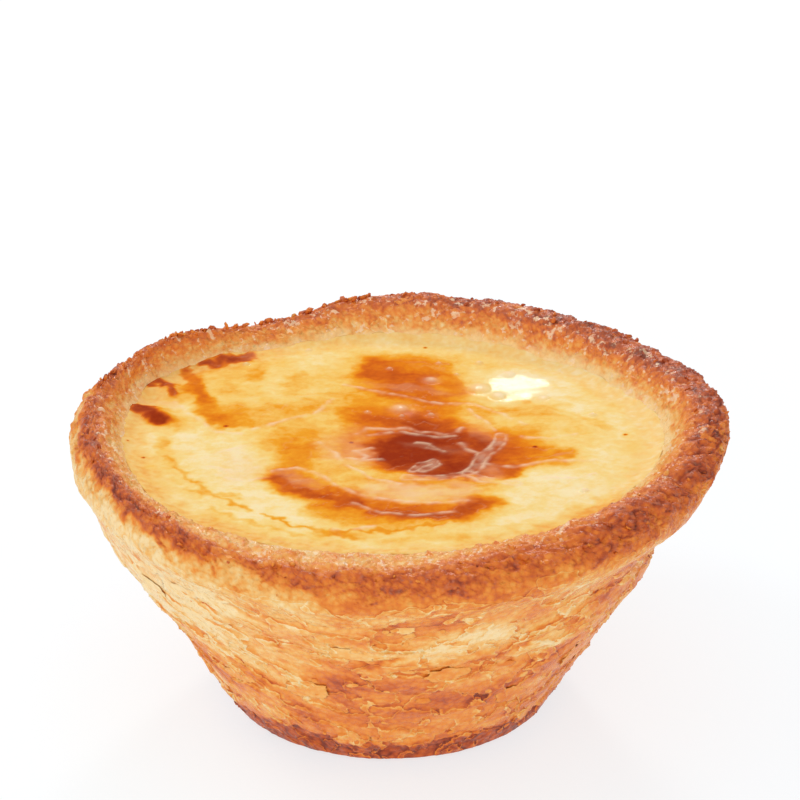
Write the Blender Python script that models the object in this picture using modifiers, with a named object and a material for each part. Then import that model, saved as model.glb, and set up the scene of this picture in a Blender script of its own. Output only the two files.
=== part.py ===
"""A single egg tart: baked custard in a case of laminated puff pastry.

Lengths are in metres and +Z is up. The tart stands on its flat base, and the origin is the
middle of its bounding box, on the table. Both solids are turned from a profile, and then
settled into the uneven form of dough that was pressed into a cup by hand and baked.
"""

import math

import bpy
from mathutils import Vector, noise

# Driving dimensions of the turned form.
RIM_RADIUS = 0.0321  # circle under the crest of the rolled rim
RIM_HEIGHT = 0.0320  # mean height of the crest
RIM_ROLL = 0.0029  # radius of the roll in section
BASE_RADIUS = 0.0183  # where the slanting wall meets the foot
FOOT_ROUNDING = 0.0014  # height of the rounded edge round the foot
FILLING_RADIUS = 0.0276  # where the custard meets the pastry
FILLING_LEVEL = 0.0295  # height of the custard at that edge
FLOOR_RADIUS = 0.0138  # inner corner at the bottom of the case
FLOOR_HEIGHT = 0.0044  # thickness of the pastry under the custard
FLOOR_CORNER = 0.0006  # bevel where that floor meets the inside of the wall
CLEARANCE = 0.0003  # gap between the custard and its case

# The dough's layers end in ledges that run round the wall, each with a lip at its lower edge.
LEDGES = 7
LEDGE_DEPTH = 0.0005
LEDGE_LIP = 0.14  # share of a ledge that its lip takes
LEDGE_WANDER = 0.0020  # how far the ledges climb and fall round the cup
LEDGE_WAVES = 1.3  # waves of that wander over the radius of the cup
LEDGE_LIKENESS = 0.011  # height over which the ledges stop wandering together

# How the baked dough strays from the turned form.
BASE_SHIFT = -0.0014  # the cup and its filling sit a little to the left of the rim
SHIFT_FADES = (0.0305, 0.0345)  # radii between which that shift dies away
MIDDLE_SHIFT = Vector((0.00035, -0.0002, 0.0))  # brings the whole over the origin
LUMP_HEIGHT = 0.0005
LUMP_SIZE = 0.011
STEADY_RADIUS = 0.010  # lumps grow from nothing at the axis to their full height here

# Swells of the rim: angle and half width in degrees, then the push outwards and upwards.
RIM_SWELLS = [
    (4, 17, 0.0011, 0.0012),
    (60, 30, 0.0000, 0.0008),
    (92, 15, 0.0000, 0.0006),
    (116, 11, -0.0002, -0.0010),
    (142, 10, 0.0000, 0.0005),
    (174, 20, 0.0000, 0.0013),
    (256, 34, 0.0000, -0.0020),
    (318, 12, 0.0002, 0.0004),
    (332, 5, -0.0005, -0.0009),
]

# Swells of the wall: angle and half width in degrees, height and half reach, push outwards.
WALL_SWELLS = [
    (-8, 40, 0.0258, 0.0050, -0.0028),
    (-14, 30, 0.0130, 0.0070, -0.0003),
    (196, 30, 0.0140, 0.0060, -0.0004),
    (200, 24, 0.0270, 0.0030, 0.0003),
]

# Swells of the custard's edge: angle and half width in degrees, then the push outwards.
EDGE_SWELLS = [
    (146, 24, 0.0018),
    (265, 30, -0.0010),
]

# Relief of the custard's skin: centre x and y, half length, half width, turn in degrees, rise.
SKIN_RELIEF = [
    (0.0010, -0.0030, 0.0135, 0.0165, 0, -0.0010),
    (-0.0160, 0.0110, 0.0085, 0.0080, 30, 0.0007),
    (0.0125, 0.0150, 0.0055, 0.0032, -15, 0.0004),
    (-0.0205, 0.0215, 0.0036, 0.0015, 35, 0.0005),
]
SKIN_DROP = 0.0003  # how far the skin lies below the top of its edge
SKIN_RINGS = 9

ROUND_SEGMENTS = 92
ROLL_POINTS = 9
ROLL_ANGLES = (140.0, -35.0)  # of the rim's section, from its inner side to its outer side
SHARP_ANGLE = math.radians(25)
MERGE_DISTANCE = 0.00001


def smooth(low, high, value):
    """0 below low, 1 above high, and a smooth step between them."""
    share = min(max((value - low) / (high - low), 0.0), 1.0)
    return share * share * (3.0 - 2.0 * share)


def fall_off(angle, centre, width):
    """1 where two angles in degrees meet, fading out over the width."""
    away = (angle - centre + 180.0) % 360.0 - 180.0
    return math.exp(-((away / width) ** 2))


def rim_swell(angle):
    """(outwards, upwards) push of the rim at an angle in degrees."""
    outwards = upwards = 0.0
    for centre, width, out, up in RIM_SWELLS:
        share = fall_off(angle, centre, width)
        outwards += out * share
        upwards += up * share
    return outwards, upwards


def wall_swell(angle, height):
    """Outwards push of the outer wall at an angle in degrees and a height."""
    push = 0.0
    for centre, width, middle, reach, out in WALL_SWELLS:
        near = math.exp(-(((height - middle) / reach) ** 2))
        push += out * near * fall_off(angle, centre, width)
    return push


def edge_swell(angle, radius):
    """Outwards push of the custard and of the pastry that meets it."""
    push = sum(out * fall_off(angle, centre, width) for centre, width, out in EDGE_SWELLS)
    grows = smooth(0.0, FILLING_RADIUS, radius)
    return push * grows * (1.0 - smooth(FILLING_RADIUS + 0.001, RIM_RADIUS, radius))


def inner_radius(height):
    """Radius of the hollow for the custard at a height."""
    share = (height - FLOOR_HEIGHT) / (FILLING_LEVEL - FLOOR_HEIGHT)
    return FLOOR_RADIUS + (FILLING_RADIUS - FLOOR_RADIUS) * share


def settle(point):
    """Moves a point of the turned form to where the baked dough lies."""
    radius = math.hypot(point.x, point.y)
    across = Vector((point.x, point.y, 0.0)) / max(radius, 1e-9)
    share = point.z / RIM_HEIGHT
    angle = math.degrees(math.atan2(point.y, point.x))
    outwards, upwards = rim_swell(angle)

    # Ledges climb and fall along the slant of the wall, but not at the foot or on the rim.
    around = across * LEDGE_WAVES
    around.z = point.z / LEDGE_LIKENESS
    steady = smooth(0.0, STEADY_RADIUS, radius)
    wander = LEDGE_WANDER * noise.noise(around) * math.sin(math.pi * min(share, 1.0))
    slant = Vector((across.x * 0.5, across.y * 0.5, 0.85))

    lump = LUMP_HEIGHT * noise.noise(point / LUMP_SIZE) * smooth(0.0, 0.2, share)
    outside = smooth(0.001, 0.005, radius - inner_radius(point.z))
    push = outwards * share + lump + wall_swell(angle, point.z) * outside
    push += edge_swell(angle, radius) * smooth(0.5, 0.9, share)
    moved = point + MIDDLE_SHIFT + slant * (wander * steady) + across * (push * steady)
    moved.x += BASE_SHIFT * (1.0 - smooth(*SHIFT_FADES, radius))
    moved.z += upwards * share**2 * smooth(0.97 * FILLING_RADIUS, RIM_RADIUS, radius)
    return moved


def skin_height(x, y):
    """Height of the custard's skin over its level, from its sunken middle and blisters."""
    height = 0.0
    for centre_x, centre_y, length, width, turn, rise in SKIN_RELIEF:
        cosine, sine = math.cos(math.radians(turn)), math.sin(math.radians(turn))
        along = ((x - centre_x) * cosine + (y - centre_y) * sine) / length
        beside = ((y - centre_y) * cosine - (x - centre_x) * sine) / width
        height += rise * math.exp(-((along**2 + beside**2) ** 2))
    return height


def wall_point(share, proud):
    """A point of the outer wall's profile, from the foot at share 0 to the rim at 1."""
    low = Vector((BASE_RADIUS, FOOT_ROUNDING))
    high = Vector((RIM_RADIUS + RIM_ROLL * 0.55, RIM_HEIGHT - RIM_ROLL * 1.75))
    up = (high - low).normalized()
    return tuple(low.lerp(high, share) + Vector((up.y, -up.x)) * proud)


def case_profile():
    """Radii and heights of the pastry case, from its floor over the rim to under its foot."""
    profile = [
        (0.0, FLOOR_HEIGHT),
        (FLOOR_RADIUS - FLOOR_CORNER, FLOOR_HEIGHT),
        (FLOOR_RADIUS, FLOOR_HEIGHT + FLOOR_CORNER),
        (FILLING_RADIUS, FILLING_LEVEL - 0.0004),
        (FILLING_RADIUS + 0.0008, FILLING_LEVEL + 0.0003),
    ]
    start, end = ROLL_ANGLES
    for step in range(ROLL_POINTS):
        angle = math.radians(start + (end - start) * step / (ROLL_POINTS - 1))
        radius = RIM_RADIUS + RIM_ROLL * math.cos(angle)
        profile.append((radius, RIM_HEIGHT - RIM_ROLL + RIM_ROLL * math.sin(angle)))
    profile.append(wall_point(1.0, 0.0))
    for ledge in reversed(range(LEDGES)):
        profile.append(wall_point((ledge + LEDGE_LIP) / LEDGES, LEDGE_DEPTH / 2))
        profile.append(wall_point(ledge / LEDGES, -LEDGE_DEPTH / 2))
    profile += [
        (BASE_RADIUS - FOOT_ROUNDING * 0.3, FOOT_ROUNDING * 0.4),
        (BASE_RADIUS - FOOT_ROUNDING * 1.2, 0.0),
        (0.0, 0.0),
    ]
    return profile


def custard_profile():
    """Radii and heights of the custard, from the middle of its skin to the middle below."""
    skin = FILLING_LEVEL - SKIN_DROP
    inset = CLEARANCE * 1.6
    profile = [(FILLING_RADIUS * ring / SKIN_RINGS, skin) for ring in range(SKIN_RINGS)]
    profile += [
        (FILLING_RADIUS - inset, FILLING_LEVEL - SKIN_DROP / 2),
        (FILLING_RADIUS - inset, FILLING_LEVEL - SKIN_DROP * 2),
        (FLOOR_RADIUS - inset, FLOOR_HEIGHT + FLOOR_CORNER + CLEARANCE),
        (FLOOR_RADIUS - FLOOR_CORNER - CLEARANCE, FLOOR_HEIGHT + CLEARANCE),
        (0.0, FLOOR_HEIGHT + CLEARANCE),
    ]
    return profile


def turned_mesh(name, profile, collection):
    """A closed mesh with the profile turned round the Z axis."""
    outline = bpy.data.meshes.new(name + "_profile")
    points = [(radius, 0.0, height) for radius, height in profile]
    outline.from_pydata(points, [(start, start + 1) for start in range(len(points) - 1)], [])
    lathe = bpy.data.objects.new(name + "_lathe", outline)
    collection.objects.link(lathe)
    screw = lathe.modifiers.new("turn", "SCREW")
    screw.axis = "Z"
    screw.steps = screw.render_steps = ROUND_SEGMENTS
    screw.use_merge_vertices = True
    screw.merge_threshold = MERGE_DISTANCE
    depsgraph = bpy.context.evaluated_depsgraph_get()
    mesh = bpy.data.meshes.new_from_object(lathe.evaluated_get(depsgraph))
    mesh.name = name
    bpy.data.objects.remove(lathe)
    bpy.data.meshes.remove(outline)
    return mesh


def material(name, colour, roughness):
    """A plain baked surface."""
    made = bpy.data.materials.new(name)
    made.use_nodes = True
    shader = made.node_tree.nodes["Principled BSDF"]
    shader.inputs["Base Color"].default_value = (*colour, 1.0)
    shader.inputs["Roughness"].default_value = roughness
    shader.inputs["Metallic"].default_value = 0.0
    return made


def add_object(collection, mesh, finish):
    """Shades a finished mesh and adds it to the collection under its own name."""
    mesh.materials.append(finish)
    mesh.shade_smooth()
    mesh.set_sharp_from_angle(angle=SHARP_ANGLE)
    collection.objects.link(bpy.data.objects.new(mesh.name, mesh))


def build_case(collection):
    """The puff pastry: a flat foot, a ledged wall, a rolled rim and the hollow inside."""
    mesh = turned_mesh("pastry_case", case_profile(), collection)
    for vertex in mesh.vertices:
        vertex.co = settle(vertex.co)
    add_object(collection, mesh, material("baked_pastry", (0.78, 0.40, 0.13), 0.6))


def build_custard(collection):
    """The filling, solid down to the floor of the case, with a sunken and blistered skin."""
    mesh = turned_mesh("custard", custard_profile(), collection)
    for vertex in mesh.vertices:
        on_skin = vertex.co.z > FILLING_LEVEL - SKIN_DROP * 1.5
        inside = 1.0 - smooth(0.92, 1.0, vertex.co.xy.length / FILLING_RADIUS)
        settled = settle(vertex.co)
        settled.z += on_skin * inside * skin_height(settled.x, settled.y)
        vertex.co = settled
    add_object(collection, mesh, material("baked_custard", (0.90, 0.66, 0.22), 0.3))


def main():
    for old in list(bpy.data.objects):
        bpy.data.objects.remove(old)
    collection = bpy.data.collections.new("egg_tart")
    bpy.context.scene.collection.children.link(collection)
    build_case(collection)
    build_custard(collection)


main()
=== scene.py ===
"""The looks of an egg tart: torn pastry layers, a browned rim and a caramelised custard.

The pieces are turned on the same profile as the solids in the frame, given their relief while
they are still round, and then settled into the same uneven form.
"""

import math

import bmesh
import bpy
import numpy as np
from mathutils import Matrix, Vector, noise


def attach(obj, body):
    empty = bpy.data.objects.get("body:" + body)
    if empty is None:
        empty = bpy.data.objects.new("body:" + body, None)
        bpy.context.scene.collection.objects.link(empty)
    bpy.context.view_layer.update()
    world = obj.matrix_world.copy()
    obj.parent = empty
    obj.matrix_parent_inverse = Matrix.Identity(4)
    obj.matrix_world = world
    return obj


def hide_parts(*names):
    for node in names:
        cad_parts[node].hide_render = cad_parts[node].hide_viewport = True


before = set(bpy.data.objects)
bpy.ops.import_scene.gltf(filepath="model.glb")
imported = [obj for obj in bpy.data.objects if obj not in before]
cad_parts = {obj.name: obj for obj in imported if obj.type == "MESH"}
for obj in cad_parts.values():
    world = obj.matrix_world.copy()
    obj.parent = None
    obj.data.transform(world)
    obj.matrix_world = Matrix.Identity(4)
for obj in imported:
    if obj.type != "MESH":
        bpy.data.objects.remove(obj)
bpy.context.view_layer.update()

MM = 0.001

# The turned form that the solids share.
RIM_RADIUS = 32.1 * MM
RIM_HEIGHT = 32.0 * MM
RIM_ROLL = 2.9 * MM
BASE_RADIUS = 18.3 * MM
FOOT_ROUNDING = 1.4 * MM
FILLING_RADIUS = 27.6 * MM
FILLING_LEVEL = 29.5 * MM
FLOOR_RADIUS = 13.8 * MM
FLOOR_HEIGHT = 4.4 * MM
LEDGES = 7
LEDGE_DEPTH = 0.5 * MM
LEDGE_LIP = 0.14

# How the baked dough strays from the turned form, as it does in the solids.
LEDGE_WANDER = 2.0 * MM
LEDGE_WAVES = 1.3
LEDGE_LIKENESS = 11.0 * MM
BASE_SHIFT = -1.4 * MM
SHIFT_FADES = (30.5 * MM, 34.5 * MM)
MIDDLE_SHIFT = np.array([0.35, -0.2, 0.0]) * MM
LUMP_HEIGHT = 0.5 * MM
LUMP_SIZE = 11.0 * MM
STEADY_RADIUS = 10.0 * MM
RIM_SWELLS = [
    (4, 17, 1.1, 1.2),
    (60, 30, 0.0, 0.8),
    (92, 15, 0.0, 0.6),
    (116, 11, -0.2, -1.0),
    (142, 10, 0.0, 0.5),
    (174, 20, 0.0, 1.3),
    (256, 34, 0.0, -2.0),
    (318, 12, 0.2, 0.4),
    (332, 5, -0.5, -0.9),
]
WALL_SWELLS = [
    (-8, 40, 25.8, 5.0, -2.8),
    (-14, 30, 13.0, 7.0, -0.3),
    (196, 30, 14.0, 6.0, -0.4),
    (200, 24, 27.0, 3.0, 0.3),
]
EDGE_SWELLS = [
    (146, 24, 1.8),
    (265, 30, -1.0),
]

# How brown the rim is round the tart, from 0 for pale dough to 1 for burnt: angle in degrees,
# then the inner slope, the crest and the outside, how wide the crest's browning is, and where in
# the rim's section it is strongest.
RIM_TONES = np.array([
    (0, 0.28, 0.80, 0.50, 46, 78),
    (15, 0.34, 0.80, 0.54, 46, 84),
    (40, 0.42, 0.84, 0.62, 50, 90),
    (68, 0.44, 0.78, 0.62, 42, 92),
    (90, 0.42, 0.72, 0.60, 34, 92),
    (110, 0.38, 0.68, 0.60, 38, 94),
    (130, 0.38, 0.64, 0.58, 38, 94),
    (157, 0.42, 0.66, 0.42, 40, 86),
    (180, 0.40, 0.74, 0.20, 42, 86),
    (205, 0.28, 0.80, 0.06, 40, 80),
    (225, 0.28, 0.74, 0.04, 38, 74),
    (242, 0.28, 0.64, 0.24, 34, 66),
    (270, 0.34, 0.68, 0.56, 36, 62),
    (290, 0.36, 0.68, 0.58, 42, 62),
    (315, 0.46, 0.72, 0.56, 54, 66),
    (332, 0.38, 0.74, 0.54, 48, 70),
    (345, 0.28, 0.76, 0.50, 44, 74),
])

# How many painted glints, painted highlights of wet spots, the rim's inner side has: angle, then
# the share.
RIM_PAINTED_GLINTS = np.array([
    (0, 0.6), (25, 0.8), (70, 0.9), (100, 0.8), (125, 0.6), (165, 0.6), (195, 0.7),
    (225, 0.5), (255, 0.9), (285, 1.0), (305, 0.5), (340, 0.4),
])

# How brown the custard's edge and the lip beside it are: angle, then the tone.
EDGE_TONES = np.array([
    (0, 0.13), (50, 0.14), (90, 0.22), (130, 0.28), (180, 0.26), (212, 0.28), (232, 0.32),
    (262, 0.26), (285, 0.26), (304, 0.38), (320, 0.46), (334, 0.16),
])

# The wall's paleness round the tart: angle, then how brown it is low down and high up.
WALL_TONES = np.array([
    (0, 0.54, 0.48),
    (60, 0.56, 0.52),
    (120, 0.54, 0.48),
    (180, 0.50, 0.18),
    (200, 0.47, 0.08),
    (215, 0.46, 0.10),
    (238, 0.48, 0.20),
    (258, 0.54, 0.38),
    (280, 0.56, 0.44),
    (300, 0.56, 0.46),
    (330, 0.57, 0.50),
])

# Sheets of torn pastry on the wall: patch height in mm, how rare it is, thickness in mm.
TORN_SHEETS = [
    (5.4, -0.06, 0.20),
    (3.1, 0.10, 0.14),
]

WALL_STEPS = 800
WALL_ROWS = 102
RIM_STEPS = 1000
CUSTARD_CELLS = 300

# The table behind the quick noise.
DICE = np.random.default_rng(11)
SHUFFLED = DICE.permutation(256)
SLOPES = DICE.normal(size=(256, 3))
SLOPES /= np.linalg.norm(SLOPES, axis=1)[:, None]


def smooth(low, high, value):
    """0 below low, 1 above high, and a smooth step between them."""
    share = np.clip((value - low) / (high - low), 0.0, 1.0)
    return share * share * (3.0 - 2.0 * share)


def fall_off(angle, centre, width):
    """1 where two angles in degrees meet, fading out over the width."""
    away = (angle - centre + 180.0) % 360.0 - 180.0
    return np.exp(-((away / width) ** 2))


def bell(distance, reach):
    """1 at no distance, fading out over the reach."""
    return np.exp(-((distance / reach) ** 2))


def lumps(points):
    """The noise that the solids use, at each point."""
    return np.array([noise.noise(place) for place in points.tolist()])


def quick_noise(points, seed):
    """Smooth noise from -1 to 1 at each point, whose lumps are one unit across."""
    cell = np.floor(points).astype(int)
    part = points - cell
    fade = part**3 * (part * (part * 6.0 - 15.0) + 10.0)
    total = np.zeros(len(points))
    for corner in np.ndindex(2, 2, 2):
        at = (cell + corner) & 255
        pick = SHUFFLED[(SHUFFLED[(SHUFFLED[at[:, 0]] + at[:, 1]) & 255] + at[:, 2] + seed) & 255]
        share = np.prod(np.where(corner, fade, 1.0 - fade), axis=1)
        total += share * np.einsum("ij,ij->i", part - corner, SLOPES[pick])
    return total * 1.7


def grain(points, size, seed=0, octaves=1):
    """Layered smooth noise, about -1 to 1, with lumps about one size across."""
    places = points / size + 3.71 * seed
    total = np.zeros(len(points))
    for octave in range(octaves):
        total += quick_noise(places, seed + 7 * octave) * 0.5**octave
        places = places * 2.03 + 1.3
    return total


def drift(points, size, seed=0):
    """A vector of smooth noise at each point."""
    return np.column_stack([grain(points, size, seed + 31 * axis) for axis in range(3)])


def terraced(value, steps, sharpness=0.22):
    """The value cut into flat terraces with steep, narrow rises, as torn layers are."""
    raised = value * steps
    return (np.floor(raised) + smooth(0.5 - sharpness, 0.5 + sharpness, raised % 1.0)) / steps


def angle_of(points):
    return np.degrees(np.arctan2(points[:, 1], points[:, 0]))


def round_table(table, column, angle):
    """A column of a table of angles, read smoothly at each angle."""
    return np.interp(angle % 360.0, table[:, 0], table[:, column], period=360.0)


def settle(points):
    """Moves points of the turned form to where the baked dough lies."""
    radius = np.hypot(points[:, 0], points[:, 1])
    height = points[:, 2]
    share = height / RIM_HEIGHT
    angle = angle_of(points)
    across = np.zeros_like(points)
    across[:, :2] = points[:, :2] / np.maximum(radius, 1e-9)[:, None]
    outwards = sum(out * fall_off(angle, at, width) for at, width, out, up in RIM_SWELLS) * MM
    upwards = sum(up * fall_off(angle, at, width) for at, width, out, up in RIM_SWELLS) * MM

    around = across * LEDGE_WAVES
    around[:, 2] = height / LEDGE_LIKENESS
    steady = smooth(0.0, STEADY_RADIUS, radius)
    wander = LEDGE_WANDER * lumps(around) * np.sin(math.pi * np.clip(share, 0.0, 1.0))
    slant = np.column_stack([across[:, 0] * 0.5, across[:, 1] * 0.5, np.full(len(points), 0.85)])

    push = LUMP_HEIGHT * lumps(points / LUMP_SIZE) * smooth(0.0, 0.2, share) + outwards * share
    hollow_slope = (FILLING_RADIUS - FLOOR_RADIUS) / (FILLING_LEVEL - FLOOR_HEIGHT)
    hollow = FLOOR_RADIUS + (height - FLOOR_HEIGHT) * hollow_slope
    outside = smooth(1.0 * MM, 5.0 * MM, radius - hollow)
    for at, width, middle, reach, out in WALL_SWELLS:
        near = bell(height - middle * MM, reach * MM) * fall_off(angle, at, width)
        push += out * MM * near * outside
    edge = sum(out * fall_off(angle, at, width) for at, width, out in EDGE_SWELLS) * MM
    inside = 1.0 - smooth(FILLING_RADIUS + 1.0 * MM, RIM_RADIUS, radius)
    push += edge * smooth(0.0, FILLING_RADIUS, radius) * inside * smooth(0.5, 0.9, share)

    moved = points + MIDDLE_SHIFT + slant * (wander * steady)[:, None]
    moved += across * (push * steady)[:, None]
    moved[:, 0] += BASE_SHIFT * (1.0 - smooth(*SHIFT_FADES, radius))
    moved[:, 2] += upwards * share**2 * smooth(0.97 * FILLING_RADIUS, RIM_RADIUS, radius)
    return moved


WALL_LOW = np.array([BASE_RADIUS, FOOT_ROUNDING])
WALL_HIGH = np.array([RIM_RADIUS + RIM_ROLL * 0.55, RIM_HEIGHT - RIM_ROLL * 1.75])
WALL_LENGTH = float(np.linalg.norm(WALL_HIGH - WALL_LOW))
WALL_UP = (WALL_HIGH - WALL_LOW) / WALL_LENGTH
WALL_OUT = np.array([WALL_UP[1], -WALL_UP[0]])


def wall_point(share, proud=0.0):
    """Radius and height on the outer wall, from the foot at share 0 to the rim at 1."""
    return tuple(WALL_LOW + WALL_UP * WALL_LENGTH * share + WALL_OUT * proud)


def wall_share(points):
    """How far up the slanting wall each point of the turned form lies."""
    radius = np.hypot(points[:, 0], points[:, 1])
    from_low = np.column_stack([radius, points[:, 2]]) - WALL_LOW
    return from_low @ WALL_UP / WALL_LENGTH


def roll_point(angle, proud=0.0):
    """Radius and height on the rolled rim, at an angle in degrees in its section."""
    turn = math.radians(angle)
    reach = RIM_ROLL + proud
    return (RIM_RADIUS + reach * math.cos(turn), RIM_HEIGHT - RIM_ROLL + reach * math.sin(turn))


def as_mesh(name, shape):
    """The finished bmesh as smooth mesh data."""
    mesh = bpy.data.meshes.new(name)
    shape.to_mesh(mesh)
    shape.free()
    mesh.shade_smooth()
    return mesh


def wrapped(name, profile, steps):
    """A mesh of the profile, a list of radii and heights, taken round the Z axis."""
    shape = bmesh.new()
    rows = len(profile) - 1
    bmesh.ops.create_grid(shape, x_segments=steps, y_segments=rows, size=0.5)
    for vertex in shape.verts:
        radius, height = profile[round((vertex.co.y + 0.5) * rows)]
        turn = 2.0 * math.pi * round((vertex.co.x + 0.5) * steps) / steps
        vertex.co = (radius * math.cos(turn), radius * math.sin(turn), height)
    bmesh.ops.remove_doubles(shape, verts=shape.verts, dist=0.001 * MM)
    bmesh.ops.recalc_face_normals(shape, faces=shape.faces)
    return as_mesh(name, shape)


def copies(name, shape, doublings):
    """(mesh, which copy each vertex is in, its place in that copy) of a shape copied over."""
    apart = 10.0
    count = 1
    for _ in range(doublings):
        made = bmesh.ops.duplicate(shape, geom=shape.verts[:] + shape.edges[:] + shape.faces[:])
        new = [part for part in made["geom"] if isinstance(part, bmesh.types.BMVert)]
        bmesh.ops.translate(shape, verts=new, vec=(apart * count, 0.0, 0.0))
        count *= 2
    mesh = as_mesh(name, shape)
    spread = places(mesh)
    which = np.rint(spread[:, 0] / apart).astype(int)
    spread[:, 0] -= which * apart
    return mesh, which, spread


def places(mesh):
    """The mesh's vertices as an array."""
    found = np.empty(len(mesh.vertices) * 3, np.float32)
    mesh.vertices.foreach_get("co", found)
    return found.reshape(-1, 3).astype(float)


def directions(mesh):
    """The mesh's vertex normals as an array."""
    found = np.empty(len(mesh.vertices) * 3, np.float32)
    mesh.vertex_normals.foreach_get("vector", found)
    return found.reshape(-1, 3).astype(float)


def put_places(mesh, points):
    mesh.vertices.foreach_set("co", points.astype(np.float32).ravel())
    mesh.update()


def put_value(mesh, name, values):
    """Stores one number for each vertex, for the mesh's material to read."""
    attribute = mesh.attributes.new(name, "FLOAT", "POINT")
    attribute.data.foreach_set("value", np.clip(values, 0.0, 1.0).astype(np.float32))


def put_vector(mesh, name, vectors):
    """Stores a vector for each vertex, for the mesh's material to read."""
    attribute = mesh.attributes.new(name, "FLOAT_VECTOR", "POINT")
    attribute.data.foreach_set("vector", vectors.astype(np.float32).ravel())


def between(start, end, count):
    """Points from start towards end, without the end itself."""
    start, end = np.array(start), np.array(end)
    return [tuple(start + (end - start) * step / count) for step in range(count)]


def from_line(x, y, line):
    """Distance of each point from a line through a few points."""
    nearest = np.full(len(x), np.inf)
    for (ax, ay), (bx, by) in zip(line, line[1:]):
        length = (bx - ax) ** 2 + (by - ay) ** 2
        share = np.clip(((x - ax) * (bx - ax) + (y - ay) * (by - ay)) / length, 0.0, 1.0)
        away = np.hypot(x - ax - share * (bx - ax), y - ay - share * (by - ay))
        nearest = np.minimum(nearest, away)
    return nearest


# Pastry wall

WALL_CRACKS = [
    (0.45, [(286.0, 0.600), (289.5, 0.635), (292.5, 0.625), (295.5, 0.640), (299.0, 0.665)]),
    (0.35, [(293.0, 0.625), (294.5, 0.585), (297.0, 0.560), (297.6, 0.525)]),
    (0.30, [(299.0, 0.560), (302.0, 0.575), (304.0, 0.590)]),
    (0.30, [(262.5, 0.700), (265.0, 0.640), (266.6, 0.610), (268.4, 0.670), (272.0, 0.690)]),
    (0.25, [(238.0, 0.965), (243.0, 0.900), (248.0, 0.865)]),
    (0.35, [(228.0, 0.930), (232.0, 0.880), (236.0, 0.850)]),
    (0.30, [(223.0, 0.650), (228.0, 0.560), (232.0, 0.510)]),
    (0.25, [(306.0, 0.480), (311.0, 0.500), (316.0, 0.540)]),
]
"""Cracks in the wall: half width in mm, then the points they run through as angle and share."""

WALL_PATCHES = [
    (284.0, 0.76, 5.5, 4.2, -0.26),
    (290.0, 0.86, 3.0, 2.0, -0.16),
    (304.0, 0.62, 3.4, 2.2, -0.22),
    (262.0, 0.74, 4.4, 2.0, -0.24),
    (228.0, 0.86, 9.0, 5.0, -0.14),
    (236.0, 0.66, 6.0, 3.0, -0.10),
    (244.0, 0.50, 5.0, 3.0, -0.08),
    (262.0, 0.50, 4.6, 2.4, 0.20),
    (276.0, 0.46, 3.4, 2.4, 0.12),
    (292.0, 0.40, 4.0, 1.8, 0.14),
    (276.0, 0.92, 8.0, 1.6, 0.16),
    (270.0, 0.82, 4.0, 2.0, 0.10),
    (246.0, 0.28, 5.0, 2.0, 0.08),
    (318.0, 0.84, 5.0, 3.0, 0.12),
    (224.0, 0.40, 5.0, 4.0, 0.08),
]
"""Paler and browner patches of the wall: angle, share, half length and height in mm, tone."""


def spread_out(points, arc, squeeze):
    """Places in mm that run round the tart and up its skin, squeezed in the way round."""
    angle = np.radians(angle_of(points))
    ring = RIM_RADIUS / MM * squeeze
    return np.column_stack([np.cos(angle) * ring, np.sin(angle) * ring, arc / MM])


def wall_spread(points):
    """The wall's own places. The layers at the left front lean down towards the front."""
    lean = 0.45 * np.minimum(points[:, 0] + 3.0 * MM, 0.0) * (points[:, 1] < 0.0)
    return spread_out(points, wall_share(points) * WALL_LENGTH + lean, 0.55)


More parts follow.
